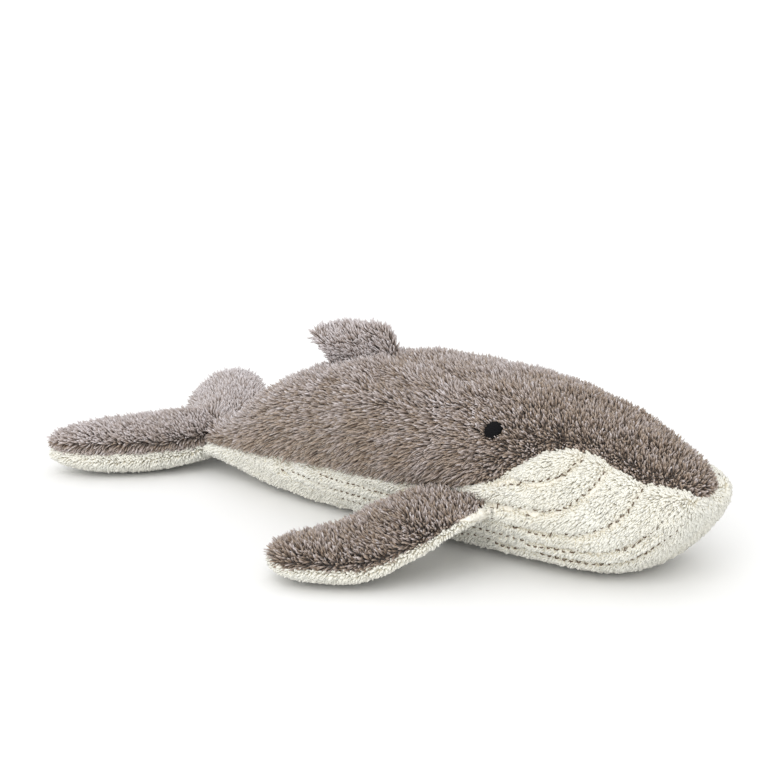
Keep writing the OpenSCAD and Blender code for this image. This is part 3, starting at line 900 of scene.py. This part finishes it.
def room_for_pile(form, side):
    """Draws the body in by its pile. Returns how much each point is rested on."""
    co, out = spots(form), facing(form)
    depth = 3.2 * MM + 3.0 * MM * ease(side / SEAM_EASE + 0.5)
    depth -= 0.6 * MM * ease((co[:, 0] - HEAD_X) / HEAD_RUN) * (side > 0)
    rest = ease((-out[:, 2] - 0.7) / 0.25) * (co[:, 2] < LOW_DOWN)
    depth += (2.4 * MM - depth) * rest
    thinned(form, depth)
    return rest


def settled(form, side, pleat):
    """Gives the body its soft unevenness, seams, pleats and creases.

    Returns how deep in a crease each point is.
    """
    co, out = spots(form), facing(form)
    soft = ease((co[:, 2] - LOW_DOWN) / (20 * MM)) * np.where(side > 0, 1.0, 0.5)
    co += out * (soft * (ripple(co, 42 * MM, 3, 1.1 * MM)
                         + ripple(co, 20 * MM, 4, 0.5 * MM)))[:, None]
    groove = 2.0 * MM * bell(pleat, 3.4 * MM) + 1.6 * MM * bell(side, 3.2 * MM)
    folded = np.zeros(len(co))
    for line, wide, deep in CREASES:
        share = crease(co, line, wide)
        groove += deep * share
        folded = np.maximum(folded, share)
    co -= out * groove[:, None]
    co[:, 2] = np.maximum(co[:, 2], FLOOR_GAP)
    put(form, co)
    return folded


def body_form():
    """The trunk and tail stock, with their colours and the lie of their pile."""
    form = body_blank()
    co = spots(form)
    side = colour_side(co, BACK_NODES, BELLY_NODES)
    pleat = gap_to(joined_tree(["pleat_thread_right", "pleat_thread_left"]), co)
    eye = np.min([np.linalg.norm(co - np.mean(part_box(f"eye_{s}"), axis=0), axis=1)
                  for s in SIDES], axis=0)
    rest = room_for_pile(form, side)
    folded = settled(form, side, pleat)

    co, out = spots(form), facing(form)
    head = ease((co[:, 0] - HEAD_X) / HEAD_RUN)
    upper = ease((out[:, 2] - 0.1) / 0.7)
    grey_side = side > 0
    direction = np.stack([np.full(len(co), -1.0), np.zeros(len(co)),
                          np.full(len(co), -1.0)], 1)
    curl = np.where(grey_side, 0.35 + 0.65 * np.maximum(head, 0.75 * upper), 0.5)
    lean = np.where(grey_side, 1.15 - 0.95 * np.maximum(head, 0.7 * upper), 1.0)
    nap = napped(co, out, direction, lean)
    stand = np.where(grey_side, 0.85 + 0.3 * upper, 0.7)
    short = 1 - 0.65 * bell(pleat, 3.6 * MM) - 0.35 * bell(side, 3.5 * MM)
    height = np.where(grey_side, (5.8 - 1.0 * head) * MM, 2.6 * MM) * np.maximum(short, 0.3)
    height *= 1 - 0.45 * bell(np.maximum(eye - EYE_REACH, 0), 3 * MM)
    # Tone: painted shade in the creases and beside the pleats; where the grey faces up it turns
    # lilac, its own tint, and a little lighter, a painted top light
    shade = np.where(grey_side, 0.36 + 0.18 * upper * (1 - head) - 0.06 * head - 0.30 * folded,
                     0.6 - 0.3 * bell(pleat, 2 * MM))
    height *= 1 - 0.5 * rest
    grow = np.where(eye < EYE_REACH, 0.0, 1.0)
    grow[pleat < 0.8 * MM] = 0.0
    described(form, side, co[:, 0], nap, stand, height, shade, grow, curl)
    return form


body = body_form()


def body_piece(obj, slot, *nodes):
    """A piece of the trunk and tail stock: hides the CAD nodes it stands for and fixes its place
    in its mesh.
    """
    if nodes:
        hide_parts(*nodes)
    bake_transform(obj)
    return obj


body_piece(backing(body, "back_cloth", True, grey_backing), "grey_plush", *BACK_NODES)
body_piece(backing(body, "belly_cloth", False, cream_backing), "cream_plush", *BELLY_NODES)
body_stuffing = body_piece(wadding(body, "body_stuffing", 2.6 * MM, fibre), "wadding",
                           *BODY_FILLINGS)

# The pile is cut along the body into pieces of a workable size
BACK_CUTS = (-0.3, -0.07, 0.01, 0.085, 0.15, 0.3)
BELLY_CUTS = (-0.3, 0.0, 0.11, 0.3)
for number, (low, high) in enumerate(zip(BACK_CUTS, BACK_CUTS[1:])):
    body_piece(grow_tufts(body, f"back_pile_{number + 1}", tufts, grey_pile, True, GREY_LOOK,
                          low, high, 10 + number * 7), "grey_plush")
for number, (low, high) in enumerate(zip(BELLY_CUTS, BELLY_CUTS[1:])):
    body_piece(grow_tufts(body, f"belly_pile_{number + 1}", tufts, cream_pile, False,
                          CREAM_LOOK, low, high, 70 + number * 7), "cream_plush")

body_tree = tree_of(body)
for word, sign in SIDES.items():
    body_piece(seam(f"side_seam_{word}", body_tree, [f"side_seam_thread_{word}"]),
               "seam_thread", f"side_seam_thread_{word}")
    sewn = [s for line in centre_lines(f"pleat_thread_{word}")
            for s in stitches(body_tree, eased_line(line))]
    body_piece(cord_mesh(f"pleat_stitches_{word}", sewn, STITCH_THICK, brown_thread, 1),
               "pleat_thread", f"pleat_thread_{word}")
body_piece(seam("back_seam", body_tree, ["back_seam_thread"]), "seam_thread",
           "back_seam_thread", "tail_seam_thread")


# ---- the embroidered eyes ----

EYE_RADIUS, EYE_STRANDS = 5.6 * MM, 17


def eye_piece(word):
    """Satin stitch over a padded core: a low dome wound with side by side strands."""
    whole = joined_copy([f"eye_{word}"], "probe")
    co = spots(whole)
    bpy.data.objects.remove(whole)
    middle = co.mean(0)
    axes = np.linalg.svd(co - middle, full_matrices=False)[2]
    out = axes[2] * np.sign(axes[2][1] * SIDES[word])
    up = unit(np.array([0.25, 0, 1.0]) - out * np.dot([0.25, 0, 1.0], out))
    across = np.cross(up, out)
    draw = np.random.default_rng(5)
    lines = []
    for k in range(EYE_STRANDS):
        h = -0.94 + 1.88 * k / (EYE_STRANDS - 1)
        half = math.sqrt(1 - h * h) * EYE_RADIUS * draw.uniform(0.93, 1.06)
        line = []
        for t in np.linspace(-1, 1, 9):
            dome = (1 - 0.75 * (t * t * (1 - h * h) + h * h)) * 3.4 * MM
            line.append(middle + across * t * half + up * h * EYE_RADIUS
                        + out * (dome - 4.4 * MM))
        lines.append(line)
    obj = cord_mesh(f"eye_stitches_{word}", lines, 0.95 * MM, black_thread, 1)
    bpy.ops.object.select_all(action="DESELECT")
    bpy.ops.mesh.primitive_uv_sphere_add(segments=24, ring_count=12, radius=1)
    core = bpy.context.object
    ball = spots(core)
    put(core, middle + ball[:, [0]] * across * EYE_RADIUS * 0.93
        + ball[:, [1]] * up * EYE_RADIUS * 0.93 + out * (ball[:, [2]] * 2.9 * MM - 4.2 * MM))
    core.data.materials.append(black_thread)
    only(obj, core)
    bpy.ops.object.join()
    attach(obj, "trunk")
    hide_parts(f"eye_{word}")


for word in SIDES:
    eye_piece(word)


# ---- the fins ----

# A point right on the seam of a fin counts as just on the grey cloth
ON_THE_GREY = 0.1 * MM


def rooted(form, tree, over, into):
    """Draws the root of a fin towards the body until it is this far into it."""
    co = spots(form)
    found = [tree.find_nearest(Vector(p)) for p in co]
    gap = min(far for _, _, _, far in found)
    for k, (_, normal, _, far) in enumerate(found):
        share = 1 - (far - gap) / over
        if share > 0:
            co[k] -= np.array(normal) * (gap + into) * share ** 1.5
    put(form, co)


def fin_pieces(form, fin, grey_nodes, cream_nodes, cuts, seed,
               stuffing_depth=2.2 * MM):
    """The cloth, stuffing, seam and pile of a fin."""
    def settle(obj, nodes=()):
        if nodes:
            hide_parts(*nodes)
        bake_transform(obj)
        return obj

    if cream_nodes:
        settle(backing(form, f"{fin}_top_cloth", True, grey_backing), grey_nodes)
        settle(backing(form, f"{fin}_under_cloth", False, cream_backing),
               cream_nodes)
    else:
        settle(backing(form, f"{fin}_cloth", True, grey_backing), grey_nodes)
    stuffing = settle(wadding(form, f"{fin}_stuffing", stuffing_depth, fibre),
                      [f"{fin}_filling"])
    threads = [f"{fin}_seam_thread"]
    settle(seam(f"{fin}_seam", tree_of(form), threads), threads)
    for number, (low, high) in enumerate(zip(cuts, cuts[1:])):
        settle(grow_tufts(form, f"{fin}_pile_{number + 1}", tufts, grey_pile, True, GREY_LOOK,
                          low, high, seed + number * 7))
    if cream_nodes:
        settle(grow_tufts(form, f"{fin}_under_pile", tufts, cream_pile, False, CREAM_LOOK,
                          -1, 1, seed + 50))


trunk_tree = joined_tree(["back_panel_right", "back_panel_left", "belly_panel",
                          "tail_back_panel_right", "tail_back_panel_left",
                          "tail_belly_panel"])


ROOT_SLOPE = math.tan(math.radians(14))
ROOT_LENGTH, ROOT_SUNK = 16 * MM, 9 * MM


def flipper_form(word, sign):
    """A flipper, its root drawn into the flank."""
    name = f"flipper_{word}"
    top, under = f"{name}_top_panel", f"{name}_under_panel"
    form = stuffed(name, [top, under, f"{name}_filling"], 3.2 * MM)
    co = spots(form)
    root = np.array(JOINTS[f"{name}_flap"]["pos_m"])
    out_y = np.abs(co[:, 1]) - abs(root[1])
    # The root is as full as the rest of the flipper, and goes into the flank's cloth
    middle = root[2] + (co[:, 0] - root[0]) * ROOT_SLOPE
    full = 1 - np.clip(out_y / (26 * MM), 0, 1)
    co[:, 2] = middle + (co[:, 2] - middle) * (1 + 1.7 * full ** 2)
    # The front edge near the root stands further forward, and droops
    front = ease((co[:, 0] - root[0]) / (28 * MM)) * (1 - np.clip(out_y / (70 * MM), 0, 1))
    co[:, 0] += 6 * MM * front
    co[:, 2] -= 4 * MM * front
    put(form, co)
    finished_with(form, "SUBSURF", levels=1, render_levels=1)
    co = spots(form)
    side = colour_side(co, [top], [under])
    side[side == 0] = ON_THE_GREY
    thinned(form, 2.8 * MM + 2.8 * MM * ease(side / SEAM_EASE + 0.5))
    rooted(form, trunk_tree, ROOT_LENGTH, ROOT_SUNK)
    co, out = spots(form), facing(form)
    co -= out * (1.2 * MM * bell(side, 3 * MM))[:, None]
    co[:, 2] = np.maximum(co[:, 2], FLOOR_GAP)
    put(form, co)
    out = facing(form)
    direction = np.tile([-0.75, 0.6 * sign, -0.55], (len(co), 1))
    upper = ease((out[:, 2] - 0.1) / 0.8)
    lean = np.where(side > 0, 0.75 - 0.5 * upper, 0.7)
    stand = np.full(len(co), 1.0)
    height = np.where(side > 0, 5.4 * MM, 3.2 * MM) * (1 - 0.3 * bell(side, 3 * MM))
    # The grey is painted a little lighter where it faces up: a painted top light
    shade = np.where(side > 0, 0.29 + 0.05 * upper, 0.58)
    grow = np.where(depth_inside(body_tree, co) > 3 * MM, 0.0, 1.0)
    curl = np.where(side > 0, 0.4 + 0.6 * upper, 0.5)
    described(form, side, co[:, 1], napped(co, out, direction, lean), stand, height, shade, grow,
              curl)
    return form


for word, sign in SIDES.items():
    form = flipper_form(word, sign)
    name = f"flipper_{word}"
    fin_pieces(form, name, [f"{name}_top_panel"], [f"{name}_under_panel"],
               (-1, 1), 200 if sign < 0 else 300)
    bpy.data.objects.remove(form)


FIN_NODES = ["dorsal_fin_panel_right", "dorsal_fin_panel_left"]
BACK_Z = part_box("dorsal_fin_panel_right")[0].z
FIN_SUNK, FIN_FRONT_RUN = 6 * MM, 9 * MM


def stood_on(form, tree, free_from, free_to):
    """Draws the lower side of the dorsal fin down into the back, but for its free tip."""
    co = spots(form)
    along = np.linspace(co[:, 0].min(), co[:, 0].max(), 14)
    width = along[1] - along[0]
    tops, feet, backs = [], [], []
    for x in along:
        near = co[np.abs(co[:, 0] - x) <= width]
        tops.append(near[:, 2].max())
        feet.append(near[:, 2].min())
        backs.append(tree.find_nearest(Vector((x, 0, BACK_Z)))[0].z - FIN_SUNK)
    top, foot, back = (np.interp(co[:, 0], along, values) for values in (tops, feet, backs))
    reach = (top - np.minimum(back, foot)) / np.maximum(top - foot, 1 * MM)
    held = ease((co[:, 0] - free_from) / (free_to - free_from))
    co[:, 2] = top - (top - co[:, 2]) * (1 + (reach - 1) * held)
    # The front end runs down into the back
    sunk_in = ease((co[:, 0] - along[-1] + FIN_FRONT_RUN) / FIN_FRONT_RUN)
    co[:, 2] -= (co[:, 2] - back) * 0.85 * sunk_in
    put(form, co)


def dorsal_form():
    """The dorsal fin, sewn down to the back but for its tip."""
    form = stuffed("dorsal", FIN_NODES + ["dorsal_fin_filling"], 2.2 * MM)
    finished_with(form, "SUBSURF", levels=1, render_levels=1)
    co = spots(form)
    # Fuller and a little taller towards its tip, which hangs free behind
    rear = ease((FIN_FRONT_X - 12 * MM - co[:, 0]) / (40 * MM))
    co[:, 2] += 2.0 * MM * rear + 6 * MM * bell(co[:, 0] - FIN_FRONT_X + 15 * MM, 17 * MM)
    co[:, 0] += 6 * MM * ease((co[:, 0] - FIN_FRONT_X + 30 * MM) / (30 * MM))
    co[:, 1] *= 1.15
    put(form, co)
    thinned(form, 4.0 * MM)
    stood_on(form, trunk_tree, FIN_FRONT_X - 66 * MM, FIN_FRONT_X - 52 * MM)
    finished_with(form, "SMOOTH", factor=0.4, iterations=3)
    co, out = spots(form), facing(form)
    direction = np.tile([-0.3, 0.0, 1.0], (len(co), 1))
    grow = np.where(depth_inside(body_tree, co) > 3 * MM, 0.0, 1.0)
    steady = np.ones(len(co))
    low_down = ease((FIN_FRONT_X - 10 * MM - co[:, 0]) / (50 * MM))
    described(form, steady, co[:, 0], napped(co, out, direction, 1.0 * steady), 0.78 * steady,
              4.4 * MM * steady, 0.84 + 0.12 * low_down, grow, 0.4 * steady)
    return form


form = dorsal_form()
low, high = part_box("dorsal_fin_panel_right")
fin_pieces(form, "dorsal_fin",
           FIN_NODES, [], (-1, 1), 400, 1.2 * MM)
bpy.data.objects.remove(form)


# The left fluke lies a little higher and further forward than the right one
FLUKE_LIFT, FLUKE_FORWARD = 11 * MM, 10 * MM


def flukes_form():
    """Both flukes, with their colours and the lie of their pile."""
    form = stuffed("flukes_whole", ["flukes_top_panel", "flukes_under_panel", "flukes_filling"],
                   4.0 * MM, 1.5 * MM, 3 * MM)
    finished_with(form, "SUBSURF", levels=1, render_levels=1)
    co = spots(form)
    side = colour_side(co, ["flukes_top_panel"], ["flukes_under_panel"])
    side[side == 0] = ON_THE_GREY
    thinned(form, 2.8 * MM + 2.0 * MM * ease(side / SEAM_EASE + 0.5))
    co, out = spots(form), facing(form)
    co -= out * (1.4 * MM * bell(side, 3 * MM))[:, None]
    lift = ease(co[:, 1] / (90 * MM))
    co[:, 2] += FLUKE_LIFT * lift
    co[:, 0] += FLUKE_FORWARD * lift
    co[:, 2] = np.maximum(co[:, 2], FLOOR_GAP)
    put(form, co)
    out = facing(form)
    direction = np.stack([np.full(len(co), -0.7), 0.5 * np.sign(co[:, 1]),
                          np.full(len(co), -0.6)], 1)
    upper = ease((out[:, 2] - 0.1) / 0.8)
    lean = np.where(side > 0, 0.85 - 0.2 * upper, 0.7)
    stand = np.full(len(co), 0.95)
    height = np.where(side > 0, 5.2 * MM, 3.2 * MM) * (1 - 0.3 * bell(side, 3 * MM))
    # The grey is painted lighter where it faces up, a painted top light, and a little lighter on
    # the left fluke
    shade = np.where(side > 0, 0.56 + 0.22 * upper + 0.08 * ease(co[:, 1] / (60 * MM)), 0.62)
    curl = np.where(side > 0, 0.45, 0.5)
    described(form, side, co[:, 1], napped(co, out, direction, lean), stand, height, shade,
              np.ones(len(co)), curl)
    return form


form = flukes_form()
fin_pieces(form, "flukes",
           ["flukes_top_panel"], ["flukes_under_panel"], (-1, 0, 1), 500)
bpy.data.objects.remove(form)
bpy.data.objects.remove(body)

for o in list(bpy.data.objects):
    if o.name.startswith("tuft_"):
        bpy.data.objects.remove(o)

low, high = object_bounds()
